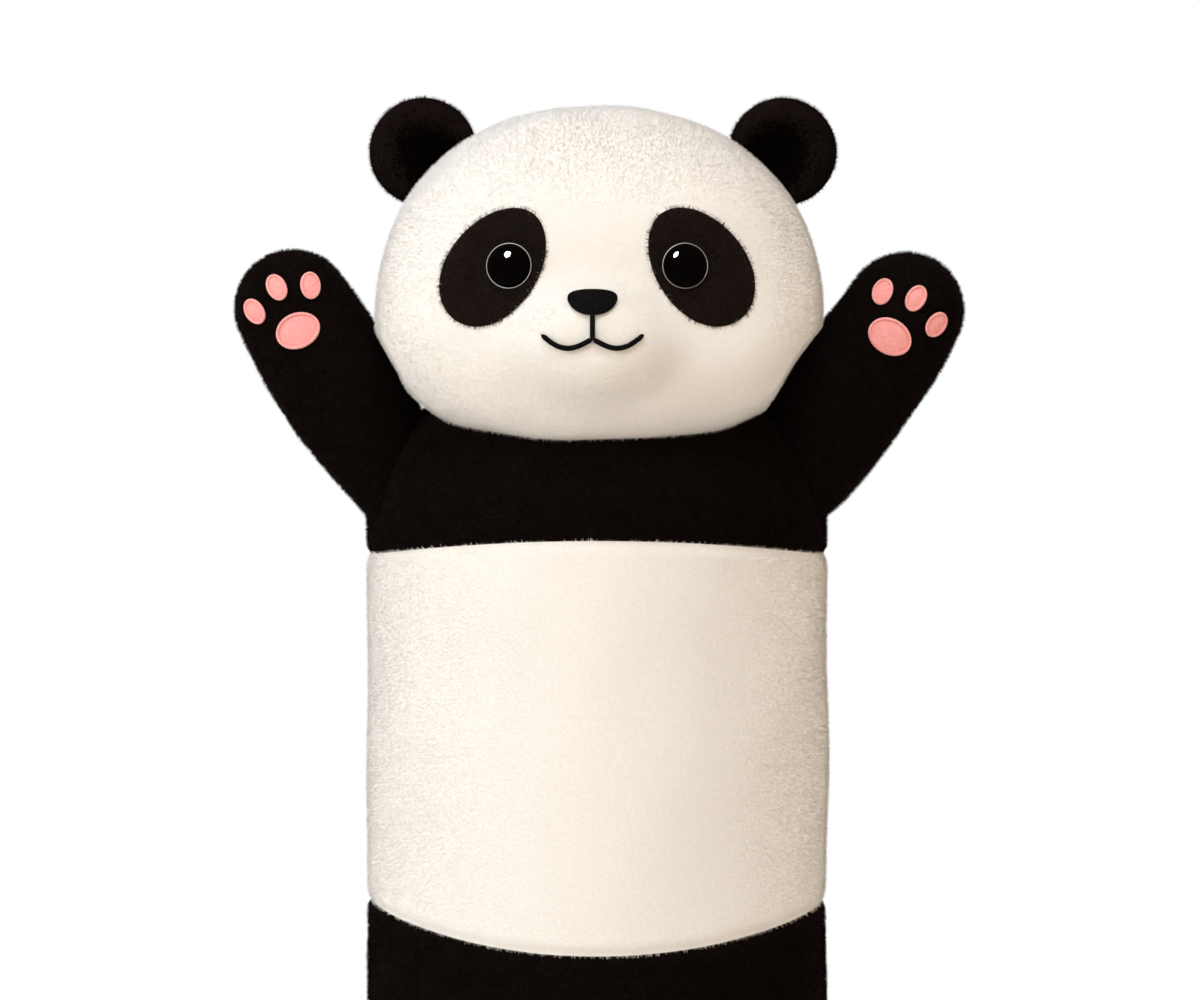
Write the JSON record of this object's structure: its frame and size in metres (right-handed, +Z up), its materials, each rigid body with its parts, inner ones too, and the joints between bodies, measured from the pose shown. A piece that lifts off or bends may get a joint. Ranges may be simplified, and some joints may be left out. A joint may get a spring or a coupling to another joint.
{
  "type": "plush panda",
  "caption": "Long stuffed panda with a straight body, round head, raised arms with pink paw pads, folding ears and stub feet.",
  "frame": {"origin": "centre of the flat base, on the surface that the toy stands on", "axes": "+Z up along the body, the face looks along -Y, +X is the toy's own left side"},
  "size_m": [0.3709, 0.2842, 0.6382],
  "materials": {
    "white_plush": "short warm-white pile",
    "black_plush": "short near-black pile",
    "pink_plush": "smooth short-pile fabric",
    "embroidery": "satin stitch",
    "thread": "polyester sewing thread",
    "stuffing": "polyester fibre fill",
    "label_cloth": "satin ribbon, blank",
    "eye_plastic": "polished dome",
    "rim_plastic": "thin pale-brown edge",
    "washer_plastic": "moulded"
  },
  "bodies": {
    "torso": {"left_eye_patch": "black_plush", "left_eye": "eye_plastic", "left_eye_rim": "rim_plastic", "left_eye_washer": "washer_plastic", "right_eye_patch": "black_plush", "right_eye": "eye_plastic", "right_eye_rim": "rim_plastic", "right_eye_washer": "washer_plastic", "head_front_panel": "white_plush", "head_back_panel": "white_plush", "belly_panel": "white_plush", "chest_panel": "black_plush", "hip_panel": "black_plush", "base_panel": "black_plush", "head_stuffing": "stuffing", "torso_stuffing": "stuffing", "nose": "embroidery", "mouth_stitching": "embroidery", "chest_seam_thread": "thread", "hip_seam_thread": "thread", "closing_stitches": "thread", "care_label": "label_cloth"},
    "right_arm": {"right_arm_front_panel": "black_plush", "right_arm_back_panel": "black_plush", "right_arm_stuffing": "stuffing", "right_palm_pad": "pink_plush", "right_finger_pads": "pink_plush"},
    "right_ear": {"right_ear_front_panel": "black_plush", "right_ear_back_panel": "black_plush", "right_ear_filling": "stuffing"},
    "right_leg": {"right_leg_cover": "black_plush", "right_sole_panel": "black_plush", "right_leg_stuffing": "stuffing", "right_sole_pad": "pink_plush", "right_toe_pads": "pink_plush"},
    "left_arm": {"left_arm_front_panel": "black_plush", "left_arm_back_panel": "black_plush", "left_arm_stuffing": "stuffing", "left_palm_pad": "pink_plush", "left_finger_pads": "pink_plush"},
    "left_ear": {"left_ear_front_panel": "black_plush", "left_ear_back_panel": "black_plush", "left_ear_filling": "stuffing"},
    "left_leg": {"left_leg_cover": "black_plush", "left_sole_panel": "black_plush", "left_leg_stuffing": "stuffing", "left_sole_pad": "pink_plush", "left_toe_pads": "pink_plush"}
  },
  "joints": [
    {"name": "right_shoulder", "type": "hinge", "parent": "torso", "child": "right_arm", "pos_m": [-0.103, -0.024, 0.441], "axis": [0, -1, 0], "range_deg": [0, 45], "stiffness_Nm_per_rad": 0.3},
    {"name": "right_ear_fold", "type": "hinge", "parent": "torso", "child": "right_ear", "pos_m": [-0.0845, 0.004, 0.602], "axis": [0.7169, 0, 0.6972], "range_deg": [-25, 25], "stiffness_Nm_per_rad": 0.02},
    {"name": "right_hip", "type": "hinge", "parent": "torso", "child": "right_leg", "pos_m": [-0.054, -0.088, 0.0395], "axis": [-0.9703, 0.2419, 0], "range_deg": [0, 20], "stiffness_Nm_per_rad": 0.3},
    {"name": "left_shoulder", "type": "hinge", "parent": "torso", "child": "left_arm", "pos_m": [0.103, -0.024, 0.441], "axis": [0, 1, 0], "range_deg": [0, 45], "stiffness_Nm_per_rad": 0.3},
    {"name": "left_ear_fold", "type": "hinge", "parent": "torso", "child": "left_ear", "pos_m": [0.0845, 0.004, 0.602], "axis": [0.7169, 0, -0.6972], "range_deg": [-25, 25], "stiffness_Nm_per_rad": 0.02},
    {"name": "left_hip", "type": "hinge", "parent": "torso", "child": "left_leg", "pos_m": [0.054, -0.088, 0.0395], "axis": [-0.9703, -0.2419, 0], "range_deg": [0, 20], "stiffness_Nm_per_rad": 0.3}
  ]
}
